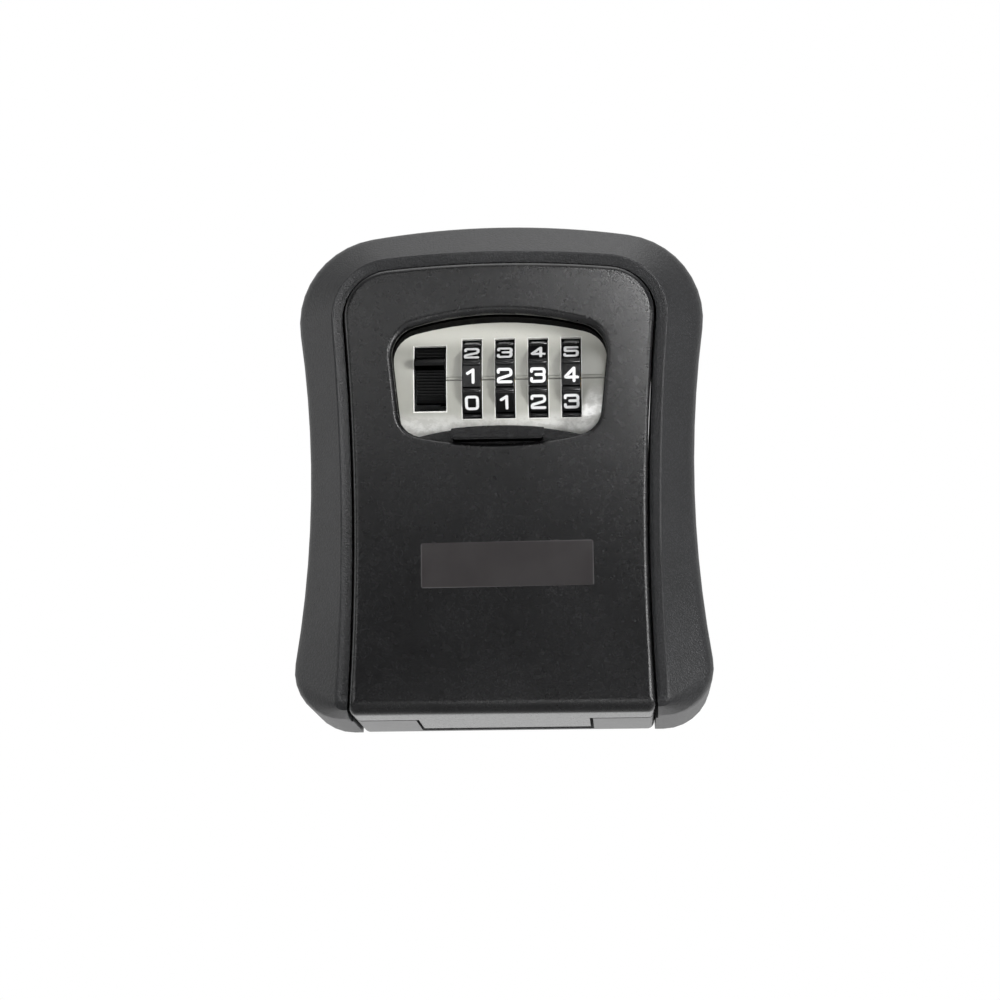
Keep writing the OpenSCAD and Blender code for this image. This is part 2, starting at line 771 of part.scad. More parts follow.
// Channels that the shutter slides in
module shutter_rails() {
    for (sx = [0, 1]) mirror([sx, 0, 0]) {
        block([rail_x, rail_x + rail_t], [lip_d - rail_lip_t, skin_d], [rail_low, rail_high]);
        block([rail_x - rail_lip_w, rail_x + rail_t], [lip_d - rail_lip_t, lip_d],
            [rail_low, rail_high]);
    }
    block([-rail_x, rail_x], [shutter_d, skin_d], [rail_low, shutter_bottom - 0.4]);
}

// Wall behind the window that closes the space between the shutter and the face plate
module window_collar() {
    difference() {
        slab(face_flange_d + flange_t, lip_d) difference() {
            polygon(window(-1.8));
            polygon(window(0));
        }
        along_x(-BIG, BIG) translate([-face_axis_d, dial_z]) circle(face_r + 0.3, $fn = 180);
    }
}

module door_cover() color([0.14, 0.14, 0.14]) {
    difference() {
        union() {
            door_shell();
            hinge_leaf();
            shutter_rails();
            window_collar();
            for (sx = [-1, 1], z = case_screw_z)
                rod(sx * case_screw_x, z, case_boss_r, face_flange_d + flange_t, skin_d);
            for (sx = [-1, 1])
                rod(sx * guard_screw_x, guard_screw_z, guard_boss_r, guard_d + guard_t, skin_d);
        }
        for (sx = [-1, 1], z = case_screw_z)
            rod(sx * case_screw_x, z, screw_r + screw_clear, flange_d, case_screw_end_d + 0.4);
        for (sx = [-1, 1])
            rod(sx * guard_screw_x, guard_screw_z, guard_screw_r + screw_clear, guard_d,
                guard_screw_end_d + 0.4);
    }
}

// Plate behind the lowered shutter that keeps keys out of its channels
module shutter_guard() color("gray")
    difference() {
        slab(guard_d, guard_d + guard_t) rounded(guard_w / 2, guard_low, guard_high, 2);
        for (sx = [-1, 1])
            flat_hole(sx * guard_screw_x, guard_screw_z, guard_screw_r, guard_head_r,
                guard_head_t, guard_d, guard_d + guard_t + 1);
    }

module guard_screws() color("silver")
    for (sx = [-1, 1])
        flat_screw(sx * guard_screw_x, guard_screw_z, guard_screw_r, guard_head_r,
            guard_head_t, guard_d, guard_screw_end_d);

// Round bars and tubes along X on the dial axis
module on_axis(left, right) {
    along_x(left, right) translate([-dial_d, dial_z]) children();
}

// Half-round bead that marks the line of the code
module index_line(left, right) {
    along_x(left + index_gap, right - index_gap)
        translate([-face_d + index_w / 2 - index_h, dial_z]) circle(index_w / 2);
}

// Bulged grey plate with the dial slots, on a flat flange
module lock_face() color([0.78, 0.78, 0.74]) {
    half_h = sqrt(pow(face_r, 2) - pow(face_flange_d - face_axis_d, 2));
    half_w = face_w / 2;
    difference() {
        union() {
            slab(face_flange_d, face_flange_d + flange_t)
                rounded(flange_w / 2, flange_low, flange_high, flange_r);
            intersection() {
                along_x(-half_w, half_w) translate([-face_axis_d, dial_z])
                    circle(face_r, $fn = 180);
                block([-BIG, BIG], [face_flange_d, BIG], [-BIG, BIG]);
            }
            index_line(slider_x + slider_slot_w / 2, dial_x[0] - slot_w / 2);
            for (x = [dial_x[0], dial_x[1], dial_x[2]])
                index_line(x + slot_w / 2, x + dial_pitch - slot_w / 2);
            index_line(dial_x[3] + slot_w / 2, window_w / 2 - 1);
        }
        intersection() {
            along_x(-half_w + face_t, half_w - face_t) translate([-face_axis_d, dial_z])
                circle(face_r - face_t, $fn = 180);
            block([-BIG, BIG], [face_flange_d - 1, BIG], [-BIG, BIG]);
        }
        for (x = dial_x)
            block([x - slot_w / 2, x + slot_w / 2], [face_flange_d, BIG],
                [slot_z - slot_h / 2, slot_z + slot_h / 2]);
        block([slider_x - slider_slot_w / 2, slider_x + slider_slot_w / 2],
            [face_flange_d, BIG],
            [slider_slot_z - slider_slot_h / 2, slider_slot_z + slider_slot_h / 2]);
        for (sx = [-1, 1], z = case_screw_z)
            rod(sx * case_screw_x, z, screw_r + screw_clear, flange_d - 1, BIG);
    }
}

// Tray behind the face plate that holds the shaft, with a flange on the door's bosses
module lock_case() color("gray") {
    difference() {
        union() {
            slab(flange_d, flange_d + flange_t)
                rounded(flange_w / 2, flange_low, flange_high, flange_r);
            slab(case_d, flange_d + flange_t)
                rounded(case_w / 2, case_low, case_high, case_r);
            for (z = [-1, 1]) mirror([0, 0, z < 0 ? 1 : 0])
                lever_guide(z);
        }
        difference() {
            slab(case_in_d, BIG)
                rounded(case_w / 2 - case_t, case_low + case_t, case_high - case_t,
                    case_r - case_t);
            shaft_support();
            detent_ledge();
        }
        on_axis(support_x - 1, BIG) circle(shaft_bore_r);
        for (sx = [-1, 1]) bolt_slot(sx, case_high - case_t - 1, case_high + 1);
        block([fork_x - 0.3, fork_x + fork_t + change_travel + 0.3],
            [case_d - 1, case_in_d + 1], [dial_z - fork_h / 2 - 0.2, dial_z + fork_h / 2 + 0.2]);
        for (sx = [-1, 1], z = case_screw_z)
            rod(sx * case_screw_x, z, screw_r + screw_clear, flange_d - 1, BIG);
        for (x = detent_screw_x)
            translate([x, -detent_screw_d, case_low - 1])
                cylinder(r = detent_screw_r + screw_clear, h = detent_z - case_low + 2);
    }
}

// Low rib beside the change lever on the back of the case
module lever_guide(side) {
    z = side * dial_z + lever_h / 2 + guide_gap;
    block([lever_x[0] - 1, lever_x[1] + change_travel + 1], [case_d - guide_t, case_d + EPS],
        [z, z + guide_w]);
}

// Upright in the case that carries the left end of the shaft
module shaft_support() {
    x = [support_x, support_x + support_t];
    block(x, [case_in_d - 1, support_front_d], support_z);
    block(x, [case_in_d - 1, support_foot_d], [case_low, dial_z]);
}

module detent_ledge()
    block(detent_x, [case_in_d - 1, detent_ledge_d], [case_low, detent_z]);

// Comb of four spring fingers that click into the grooves under the dials
module detent_spring() color("silver") {
    tip_z = dial_z - dial_r - finger_gap;
    foot_z = tip_z - finger_h;
    half = finger_h - finger_flat * 2;
    difference() {
        union() {
            block(detent_x, [case_in_d + 0.3, detent_ledge_d], [detent_z, detent_z + detent_t]);
            for (x = dial_x)
                along_x(x - finger_w / 2, x + finger_w / 2) polygon([
                    [-detent_ledge_d + 1, detent_z], [-detent_ledge_d, detent_z],
                    [-dial_d + half, foot_z - detent_t], [-dial_d, tip_z - detent_t],
                    [-dial_d - half, foot_z - detent_t], [-dial_d - half, foot_z],
                    [-dial_d - finger_flat, tip_z], [-dial_d + finger_flat, tip_z],
                    [-dial_d + half + finger_flat, foot_z],
                    [-detent_ledge_d + finger_flat, detent_z + detent_t],
                    [-detent_ledge_d + 1, detent_z + detent_t]]);
        }
        for (x = detent_screw_x)
            translate([x, -detent_screw_d, 0])
                cylinder(r = detent_screw_r + screw_clear, h = detent_z + 2);
    }
}

module detent_screws() color("silver")
    for (x = detent_screw_x) translate([x, -detent_screw_d, 0])
        difference() {
            union() {
                upright(case_low + 0.2, detent_z + detent_t) circle(detent_screw_r);
                upright(detent_z + detent_t, detent_z + detent_t + detent_head_t)
                    circle(detent_head_r);
            }
            for (a = [0, 90])
                rotate(a)
                    translate([-detent_head_r / 2, -0.2, detent_z + detent_t + detent_head_t / 2])
                        cube([detent_head_r, 0.4, detent_head_t]);
        }

module lock_case_screws() color("silver")
    for (sx = [-1, 1], z = case_screw_z)
        difference() {
            union() {
                rod(sx * case_screw_x, z, screw_r, flange_d - EPS, case_screw_end_d);
                rod(sx * case_screw_x, z, case_head_r, flange_d - case_head_t, flange_d);
            }
            for (a = [0, 90])
                translate([sx * case_screw_x, -flange_d + case_head_t + EPS, z]) rotate([90, a, 0])
                    translate([-case_head_r * 0.6, -0.2, 0])
                        cube([case_head_r * 1.2, 0.4, case_head_t / 2]);
        }

// Thin film label on the door, with nothing printed on it
module label() color([0.1, 0.1, 0.1])
    translate([label_x, 0, label_z]) rotate([0, -label_tilt, 0])
        slab(door_d, door_d + label_t) rounded(label_w / 2, -label_h / 2, label_h / 2, 0.5);

// Arched cover with its finger tab
module shutter() color([0.1, 0.1, 0.1]) {
    slab(shutter_d, shutter_d + shutter_t) intersection() {
        translate([-shutter_w / 2, shutter_bottom])
            square([shutter_w, shutter_top - shutter_bottom]);
        translate([0, shutter_top - shutter_r]) circle(shutter_r, $fn = 240);
    }
    slab(shutter_d + shutter_t, tab_d - tab_edge) tab_outline(0);
    slab(tab_d - tab_edge, tab_d) tab_outline(tab_edge);
}

// Outline of the finger tab, arched above, drawn in by d
module tab_outline(d) {
    translate([tab_x, 0]) intersection() {
        rounded(tab_w / 2 - d, tab_high - tab_h + d, tab_high, tab_end_r - d);
        translate([0, tab_high - tab_arch_r]) circle(tab_arch_r - d, $fn = 300);
    }
}

// Thumb piece with a bump and grip ribs, on a stem through the case
module release_slider() color([0.08, 0.08, 0.08]) {
    half = slider_slot_w / 2 - slider_ease;
    difference() {
        union() {
            along_x(slider_x - half, slider_x + half) polygon(concat(
                [[-slider_back_d, slider_low]],
                [for (p = slider_face) [-face_d - p[1], slider_low + p[0]]],
                [[-slider_back_d, slider_low + slider_len]]));
            block([stem_x[0] + slider_ease, stem_x[1] - slider_ease],
                [latch_d + latch_t, slider_back_d + 1], slider_stem_z);
        }
        for (h = concat([for (i = [0:grips - 1]) grip_low + i * grip_pitch], high_grips))
            block([slider_x - half + grip_w, slider_x + half - grip_w],
                [face_d + lookup(h, slider_face) - grip_cut, BIG],
                [slider_low + h - grip_w / 2, slider_low + h + grip_w / 2]);
        rod((stem_x[0] + stem_x[1]) / 2, latch_screw_z, latch_screw_r + screw_clear, latch_d,
            latch_screw_end_d + 0.3);
    }
}

// Bolts, fence teeth and stem in one steel plate
module latch_plate() color("silver") {
    difference() {
        union() {
            slab(latch_d, latch_d + latch_t) {
                translate([stem_x[0], shelf_z])
                    square([stem_x[1] - stem_x[0], bar_high - shelf_z]);
                translate([stem_x[0], bar_low])
                    square([right_bar_x[1] - stem_x[0], bar_high - bar_low]);
                translate([right_bar_x[0], dial_z + 2])
                    square([right_bar_x[1] - right_bar_x[0], bar_high - dial_z - 2]);
                for (sx = [-1, 1])
                    bolt_outline(sx);
            }
            for (x = dial_x) fence_tooth(x + disc_x + cam_t / 2);
            block([stem_x[0] + 0.2, stem_x[1] - 0.2], [latch_d, shelf_d],
                [shelf_z, shelf_z + shelf_t]);
        }
        flat_hole((stem_x[0] + stem_x[1]) / 2, latch_screw_z, latch_screw_r, latch_head_r,
            latch_head_t, latch_d, latch_d + latch_t + 1);
    }
}

// A bolt with chamfered tip corners
module bolt_outline(sx) {
    c = 0.8;
    h = bolt_w / 2;
    translate([sx * bolt_x, 0]) polygon([[-h, bar_high - 1], [-h, bolt_top - c],
        [-h + c, bolt_top], [h - c, bolt_top], [h, bolt_top - c], [h, bar_high - 1]]);
}

// Arm from the plate over a cam, with the tooth that drops into the cam's gate
module fence_tooth(x) {
    block([x - lug_t / 2, x + lug_t / 2], [latch_d, arm_d], [bar_low, bar_high]);
    block([x - lug_t / 2, x + lug_t / 2], [dial_d - tooth_w / 2, arm_d],
        [tooth_z, bar_high]);
}

module latch_screw() color("silver")
    flat_screw((stem_x[0] + stem_x[1]) / 2, latch_screw_z, latch_screw_r, latch_head_r,
        latch_head_t, latch_d, latch_screw_end_d);

// Coil that pushes the latch plate up, standing on the floor of the case
module latch_spring() color("silver")
    translate([(stem_x[0] + stem_x[1]) / 2, -latch_coil_d, case_low + case_t])
        coil(latch_coil_r, latch_wire_r, latch_coil_turns, shelf_z - case_low - case_t);

// Code-change lever on the back of the case, with a fork round the shaft's neck
module change_lever() color([0.15, 0.15, 0.15]) {
    back = case_d - lever_gap;
    knob_d = back - lever_t - knob_t;
    knob_z = [dial_z - lever_h / 2 + knob_edge, dial_z + lever_h / 2 - knob_edge];
    difference() {
        union() {
            block(lever_x, [back - lever_t, back],
                [dial_z - lever_h / 2, dial_z + lever_h / 2]);
            for (x = [for (i = [0:knob_ribs - 1]) knob_x + i * knob_pitch])
                block([x, x + knob_rib_w], [knob_d, back], knob_z);
            block([knob_x, knob_x + (knob_ribs - 1) * knob_pitch + knob_rib_w],
                [knob_d + knob_cut, back], knob_z);
            block([fork_x, fork_x + fork_t], [back - EPS, dial_d + 1.6],
                [dial_z - fork_h / 2, dial_z + fork_h / 2]);
        }
        block([fork_x - 1, fork_x + fork_t + 1], [dial_d, BIG],
            [dial_z - neck_r - 0.1, dial_z + neck_r + 0.1]);
        on_axis(fork_x - 1, fork_x + fork_t + 1) circle(neck_r + 0.1);
    }
}

// Shaft with a neck for the lever, a collar for the first cam and a groove for the clip
module dial_shaft() color("silver") {
    right = case_w / 2 - case_t + 0.5;
    difference() {
        union() {
            on_axis(shaft_left, right) circle(shaft_r);
            on_axis(collar_x, collar_x + collar_t) circle(spacer_r);
        }
        on_axis(fork_x - 0.1, fork_x + fork_t + 0.1) difference() {
            circle(shaft_r + 1);
            circle(neck_r);
        }
        on_axis(clip_x - 0.05, clip_x + clip_t + 0.05) difference() {
            circle(shaft_r + 1);
            circle(shaft_r - 0.35);
        }
    }
}

module shaft_clip() color("silver")
    on_axis(clip_x, clip_x + clip_t) difference() {
        circle(3);
        circle(shaft_r - 0.3);
        translate([-0.9, 0]) square([1.8, 5]);
    }

module cam_spacers() color("silver")
    for (i = [0:dials - 2])
        on_axis(dial_x[i] + disc_x + cam_t + cam_gap, dial_x[i + 1] + hub_x - cam_gap)
            difference() {
                circle(spacer_r);
                circle(shaft_bore_r);
            }

// Coil that returns the shaft, between the clip and the side of the case
module shaft_spring() color("silver")
    translate([clip_x + clip_t, -dial_d, dial_z]) rotate([0, 90, 0])
        coil(shaft_coil_r, shaft_wire_r, shaft_coil_turns,
            case_w / 2 - case_t - clip_x - clip_t);

// Ten-sided dial with a groove between digits and a ring of pockets for the cam's dogs
module dial(i) {
    x = dial_x[i];
    step = 360 / digits;
    flat_r = dial_r * cos(step / 2) + 0.08;
    difference() {
        on_axis(x - dial_w / 2, x + dial_w / 2) difference() {
            intersection() {
                rotate(step / 2) circle(flat_r / cos(step / 2), $fn = digits);
                circle(dial_r, $fn = 96);
            }
            for (k = [0:digits - 1])
                rotate((k + 0.5) * step) translate([dial_r + groove_r * 0.25, 0])
                    circle(groove_r, $fn = 24);
            circle(dial_bore_r);
        }
        for (k = [0:digits - 1])
            on_axis(x + dial_w / 2 - dog_len - 0.2, x + dial_w / 2 + 1)
                rotate(k * step) translate([dog_circle_r, 0])
                    circle(dog_r + shaft_clear, $fn = 24);
    }
}

module dial_1() color([0.07, 0.07, 0.07]) dial(0);
module dial_2() color([0.07, 0.07, 0.07]) dial(1);
module dial_3() color([0.07, 0.07, 0.07]) dial(2);
module dial_4() color([0.07, 0.07, 0.07]) dial(3);

// Gated cam whose hub carries a dial and whose two dogs couple it to that dial
module cam(i) {
    x = dial_x[i];
    difference() {
        union() {
            on_axis(x + hub_x, x + disc_x + cam_t) circle(hub_r);
            on_axis(x + disc_x, x + disc_x + cam_t) circle(cam_r, $fn = 96);
            for (a = [0, 180])
                on_axis(x + dial_w / 2 - dog_len, x + disc_x + EPS)
                    rotate(a) translate([dog_circle_r, 0]) circle(dog_r, $fn = 24);
        }
        on_axis(x - BIG, x + BIG) circle(shaft_bore_r);
        on_axis(x + disc_x - 1, x + disc_x + cam_t + 1)
            translate([-gate_w / 2, hub_r + 0.1]) square([gate_w, BIG]);
    }
}

module cam_1() color("goldenrod") cam(0);
module cam_2() color("goldenrod") cam(1);
module cam_3() color("goldenrod") cam(2);
module cam_4() color("goldenrod") cam(3);

rear_housing();
surround();
surround_screws();
hinge_pin();
strike_plate();
strike_screws();
door_cover();
lock_face();
lock_case();
lock_case_screws();
shutter_guard();
guard_screws();
detent_spring();
detent_screws();
label();
shutter();
release_slider();
latch_plate();
latch_screw();
latch_spring();
change_lever();
dial_shaft();
shaft_clip();
cam_spacers();
shaft_spring();
dial_1();
dial_2();
dial_3();
dial_4();
cam_1();
cam_2();
cam_3();
cam_4();
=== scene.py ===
"""The looks of a combination key safe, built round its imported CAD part.

Everything is in metres in the part's own frame: X to the right, Y into the wall and Z up, from
the centre of the four wall-screw holes. A depth is a distance out from the wall.
"""

import json
import math

import bmesh
import bpy
from mathutils import Matrix, Vector


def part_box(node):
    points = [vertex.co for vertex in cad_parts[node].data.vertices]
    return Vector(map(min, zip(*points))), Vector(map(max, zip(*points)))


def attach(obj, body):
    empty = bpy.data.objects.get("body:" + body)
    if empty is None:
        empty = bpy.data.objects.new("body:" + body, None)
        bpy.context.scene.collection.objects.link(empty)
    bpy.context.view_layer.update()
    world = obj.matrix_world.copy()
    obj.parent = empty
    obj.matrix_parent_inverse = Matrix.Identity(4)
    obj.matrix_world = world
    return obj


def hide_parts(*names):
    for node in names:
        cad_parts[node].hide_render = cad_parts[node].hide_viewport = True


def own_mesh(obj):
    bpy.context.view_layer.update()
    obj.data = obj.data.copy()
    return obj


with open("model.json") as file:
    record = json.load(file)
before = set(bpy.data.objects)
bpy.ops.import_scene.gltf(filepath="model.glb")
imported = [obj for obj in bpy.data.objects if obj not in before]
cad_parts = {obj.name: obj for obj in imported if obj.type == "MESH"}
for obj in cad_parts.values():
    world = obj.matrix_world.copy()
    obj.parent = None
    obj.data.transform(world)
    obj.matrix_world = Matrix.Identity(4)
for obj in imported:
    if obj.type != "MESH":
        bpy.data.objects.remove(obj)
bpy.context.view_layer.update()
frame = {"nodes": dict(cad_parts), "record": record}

MM = 0.001

# Places and sizes that the finishes and the digits share with the part's source

DIAL_COUNT = 4
DIAL_PITCH = 7.58 * MM
DIAL_X = [-6.5 * MM + DIAL_PITCH * dial for dial in range(DIAL_COUNT)]
DIAL_Z = 20 * MM
DIAL_DEPTH = 24.65 * MM
DIAL_RADIUS = 10.3 * MM
DIGITS = 10
DIGIT_STEP = math.tau / DIGITS
# How far a dial's flats are from its axis
FLAT_RADIUS = DIAL_RADIUS * math.cos(DIGIT_STEP / 2) + 0.08 * MM
# Width and height of each slot in the face plate, and the height that they are all centred on
DIAL_SLOT = (4.55 * MM, 18.8 * MM)
SLIDER_SLOT = (7.4 * MM, 15.4 * MM)
SLOT_Z = 20.2 * MM
SLIDER_X = -16.1 * MM
# Lowest and highest corner of a box that holds the walls of the door's window, painted black as
# shade
WINDOW_WALLS = ((-25.5 * MM, -37.5 * MM, 2 * MM), (25.5 * MM, -28 * MM, 37.5 * MM))


def add_object(name, data):
    """A new object in the scene that shows a mesh, a lamp or a camera."""
    made = bpy.data.objects.new(name, data)
    bpy.context.scene.collection.objects.link(made)
    return made


# Finishes


class Value:
    """A number that changes over a surface. Sums with it add Math nodes."""

    def __init__(self, shading, socket):
        self.shading = shading
        self.socket = socket

    def math(self, operation, *inputs):
        return self.shading.node("ShaderNodeMath", {"operation": operation},
                                 dict(enumerate(inputs)))

    def __add__(self, other):
        return self.math("ADD", self, other)

    def __sub__(self, other):
        return self.math("SUBTRACT", self, other)

    def __rsub__(self, other):
        return self.math("SUBTRACT", other, self)

    def __mul__(self, other):
        return self.math("MULTIPLY", self, other)

    def __abs__(self):
        return self.math("ABSOLUTE", self)

    __radd__ = __add__
    __rmul__ = __mul__

    def larger(self, other):
        """The larger of two values at each place."""
        return self.math("MAXIMUM", self, other)

    def wrapped(self, low, high):
        """The value with everything outside low and high brought between them in whole steps."""
        return self.math("WRAP", self, high, low)

    def ramp(self, low, high):
        """0 below low, 1 above high and smooth in between."""
        return self.shading.node(
            "ShaderNodeMapRange", {"interpolation_type": "SMOOTHSTEP"},
            {"Value": self, "From Min": low, "From Max": high})


class Shading:
    """The nodes of one material or world, round the shader that it ends in."""

    def __init__(self, owner, shader):
        owner.use_nodes = True
        self.tree = owner.node_tree
        self.shader = self.tree.nodes[shader]

    def node(self, kind, settings=None, sockets=None, out=0):
        """Add a node, set its settings, then its sockets by name or place, and give one output."""
        made = self.tree.nodes.new(kind)
        for key, value in (settings or {}).items():
            setattr(made, key, value)
        for key, value in (sockets or {}).items():
            self.join(made.inputs[key], value)
        return Value(self, made.outputs[out])

    def join(self, socket, value):
        """Link a value to a socket, or set the socket to a number or a colour."""
        if isinstance(value, Value):
            self.tree.links.new(value.socket, socket)
        elif hasattr(value, "__len__") and len(value) == 3 and socket.type == "RGBA":
            socket.default_value = (*value, 1)
        else:
            socket.default_value = value

    def feed(self, name, value):
        """Link or set a socket of the shader."""
        self.join(self.shader.inputs[name], value)


class Finish(Shading):
    """A procedural material round one Principled shader, whose fixed sockets are set by name."""

    def __init__(self, name, **fixed):
        self.material = bpy.data.materials.new(name)
        super().__init__(self.material, "Principled BSDF")
        for key, value in fixed.items():
            self.feed(key.replace("_", " ").title().replace("Ior", "IOR"), value)
        self.place = self.node("ShaderNodeTexCoord", out="Object")

    def along(self, axis):
        """How far along X, Y or Z a place on the object is, in metres."""
        return self.node("ShaderNodeSeparateXYZ", sockets={"Vector": self.place}, out=axis)

    def facing(self, axis):
        """How far the surface faces along X, Y or Z, from -1 to 1."""
        normal = self.node("ShaderNodeNewGeometry", out="Normal")
        return self.node("ShaderNodeSeparateXYZ", sockets={"Vector": normal}, out=axis)

    def inside(self, low, high, soft):
        """1 inside the box between two corners, 0 outside it and smooth over a width of soft."""
        mask = 1
        for axis, least, most in zip("XYZ", low, high):
            away = abs(self.along(axis) - (least + most) / 2)
            mask = mask * (1 - away.ramp((most - least) / 2 - soft, (most - least) / 2))
        return mask

    def stretched(self, x, y, z):
        """The place on the object, with each direction scaled by itself."""
        return self.node("ShaderNodeMapping", sockets={"Vector": self.place, "Scale": (x, y, z)})

    def noise(self, size, detail=2.0, rough=0.5, place=None):
        """Soft noise from 0 to 1 whose blotches are about size metres across."""
        return self.node("ShaderNodeTexNoise", {"noise_dimensions": "3D"},
                         {"Vector": place or self.place, "Scale": 1 / size, "Detail": detail,
                          "Roughness": rough})

    def cells(self, size):
        """Distance from the nearest of many scattered points that are about size metres apart."""
        return self.node("ShaderNodeTexVoronoi", {"feature": "F1"},
                         {"Vector": self.place, "Scale": 1 / size}, out="Distance")

    def mix(self, mask, low, high):
        """A colour that goes from low to high as the mask goes from 0 to 1."""
        # By place, because the node has sockets of the same name for numbers and for colours
        return self.node("ShaderNodeMix", {"data_type": "RGBA"},
                         {0: mask, 6: low, 7: high}, out=2)

    def bump(self, height, depth):
        """Raise the surface by up to depth metres where height is 1."""
        self.feed("Normal", self.node("ShaderNodeBump", sockets={
            "Height": height, "Distance": depth, "Strength": 1.0}))


def moulded(name, colour, high, roughness, grain, depth, level, window=None):
    """Black moulded or painted surface: fine grain, with faint cloudy changes in colour.

    A window's walls, given by its lowest and highest corners, are dull and painted black as shade.
    """
    made = Finish(name, specular_ior_level=level)
    cloud = made.noise(14 * MM, 3).ramp(0.3, 0.7)
    pits = made.noise(grain, 2, 0.6)
    pebbles = made.cells(grain * 1.5)
    tone = made.mix(cloud * 0.3 + (1 - pebbles.ramp(0.15, 0.6)) * 0.7, colour, high)
    shine = roughness + (made.noise(grain * 6) - 0.5) * 0.04
    if window:
        # Painted shade: the window's walls go near black, dull and metallic
        inside = made.inside(*window, soft=0.4 * MM)
        made.feed("Metallic", inside)
        tone = made.mix(inside, tone, (0.001, 0.001, 0.001))
        shine = shine + inside * 0.7
    made.feed("Base Color", tone)
    made.feed("Roughness", shine)
    made.bump(pits + pebbles * 0.5, depth)
    return made.material


# Heights between which the face plate's foot ends and its head begins, how much higher the foot
# reaches at the plate's right end, and between which places it gets there. The foot is painted
# pale in patches as painted highlights, and the head is painted pale as painted light.
FOOT_END = (8 * MM, 13 * MM)
HEAD_START = (26 * MM, 31 * MM)
FOOT_RISE = 6 * MM
RISE_X = (17 * MM, 21 * MM)
# The painted shadow line under the index bead: how far below the bead's middle it runs, and
# between which distances from its own middle it thins out
BEAD_SHADOW_DROP = 0.46 * MM
BEAD_SHADOW_EDGE = (0.04 * MM, 0.16 * MM)


def face_plate():
    """Warm grey satin plate with painted shade in the middle and painted light at head and foot.

    The middle is darker as painted shade between the dials, the head paler as painted light, and
    the wrinkled foot pale in patches as painted highlights. The slots' edges get painted
    highlights and the index bead a painted shadow under it.
    """
    made = Finish("face_grey", specular_ior_level=0.5, coat_roughness=0.1)
    streaks = made.noise(3 * MM, 3, 0.5, made.stretched(0.25, 1, 1))
    wrinkles = made.noise(1.6 * MM, 4, 0.7, made.stretched(0.6, 1, 1))
    specks = made.noise(0.35 * MM, 2).ramp(0.62, 0.8)
    cloud = made.noise(11 * MM, 3).ramp(0.3, 0.7)
    rise = made.along("X").ramp(*RISE_X) * FOOT_RISE
    foot_highlight_and_coat = 1 - (made.along("Z") - rise).ramp(*FOOT_END)
    head_light = made.along("Z").ramp(*HEAD_START)
    # The middle is painted darker, as shade between the dials, with random cloudy tone
    tone = made.mix(cloud, (0.33, 0.33, 0.296), (0.39, 0.39, 0.35))
    # The head is painted paler, as light
    tone = made.mix(head_light, tone, (0.7, 0.7, 0.64))
    # Pale wrinkled patches on the foot, reaching higher on the right, are painted highlights
    tone = made.mix(foot_highlight_and_coat * (0.6 + wrinkles.ramp(0.4, 0.6) * 0.4), tone, (0.95, 0.95, 0.92))
    tone = made.mix(specks * 0.3, tone, (0.3, 0.3, 0.275))
    # Painted highlights on the edges of the slots
    tone = made.mix(slot_edge_highlights(made), tone, (0.85, 0.85, 0.81))
    # The index bead and the painted shadow under it start at the slider
    from_bead_shadow = abs(made.along("Z") - (DIAL_Z - BEAD_SHADOW_DROP))
    bead_shadow = made.along("X").ramp(SLIDER_X, 0.8 * SLIDER_X) * (1 - from_bead_shadow.ramp(*BEAD_SHADOW_EDGE))
    made.feed("Base Color", made.mix(bead_shadow, tone, (0.06, 0.06, 0.05)))
    made.feed("Roughness", 0.4 + (streaks - 0.5) * 0.16)
    made.feed("Coat Weight", 0.1 + foot_highlight_and_coat * wrinkles.ramp(0.35, 0.6) * 0.6)
    made.bump(streaks * 0.4 + made.noise(0.5 * MM) * 0.6 + foot_highlight_and_coat * wrinkles * 6, 0.012 * MM)
    return made.material


def slot_edge_highlights(made):
    """1 on the painted highlights round the edges of the slots for the dials and for the slider.
    """
    across = made.along("X")
    up = abs(made.along("Z") - SLOT_Z)
    edge, soft = 0.14 * MM, 0.06 * MM
    first, last = DIAL_X[0] - DIAL_PITCH / 2, DIAL_X[-1] + DIAL_PITCH / 2
    # The dials' slots repeat, so one of them is drawn and the place across is wrapped round it
    from_dial = abs(across.wrapped(first, first + DIAL_PITCH) - DIAL_X[0])
    in_row = across.ramp(first, first + soft) * (1 - across.ramp(last - soft, last))
    highlights = 0
    for beside, (wide, high), here in ((from_dial, DIAL_SLOT, in_row),
                                       (abs(across - SLIDER_X), SLIDER_SLOT, 1)):
        highlights = highlights + ((1 - beside.ramp(wide / 2 + edge, wide / 2 + edge + soft))
                         * (1 - up.ramp(high / 2 + edge, high / 2 + edge + soft)) * here)
    return highlights


def plated(name, colour, roughness, brushed):
    """Plated or ground metal with fine lines along one direction."""
    made = Finish(name, metallic=1.0)
    lines = made.noise(0.25 * MM, 3, 0.6, made.stretched(*brushed))
    cloud = made.noise(6 * MM, 3).ramp(0.3, 0.75)
    dark = tuple(c * 0.78 for c in colour)
    made.feed("Base Color", made.mix(cloud * 0.6 + lines * 0.4, dark, colour))
    made.feed("Roughness", roughness + (lines - 0.5) * 0.18)
    made.bump(lines, 0.008 * MM)
    return made.material


def gloss_black(name, colour, roughness, level):
    """Half-gloss black moulding with faint flow marks and fine scuffs.

    Its undersides are dull and painted black as shade.
    """
    made = Finish(name, specular_ior_level=level)
    scuffs = made.noise(0.5 * MM, 4, 0.65, made.stretched(0.3, 1, 1))
    underside_shade = (0 - made.facing("Z")).ramp(0.5, 0.9)
    tone = made.mix(scuffs.ramp(0.45, 0.8), colour, tuple(c * 1.8 for c in colour))
    # Painted shade: the undersides go black
    made.feed("Base Color", made.mix(underside_shade, tone, (0, 0, 0)))
    made.feed("Metallic", underside_shade)
    made.feed("Roughness", roughness + (scuffs - 0.5) * 0.14 + underside_shade)
    made.bump(scuffs, 0.01 * MM)
    return made.material


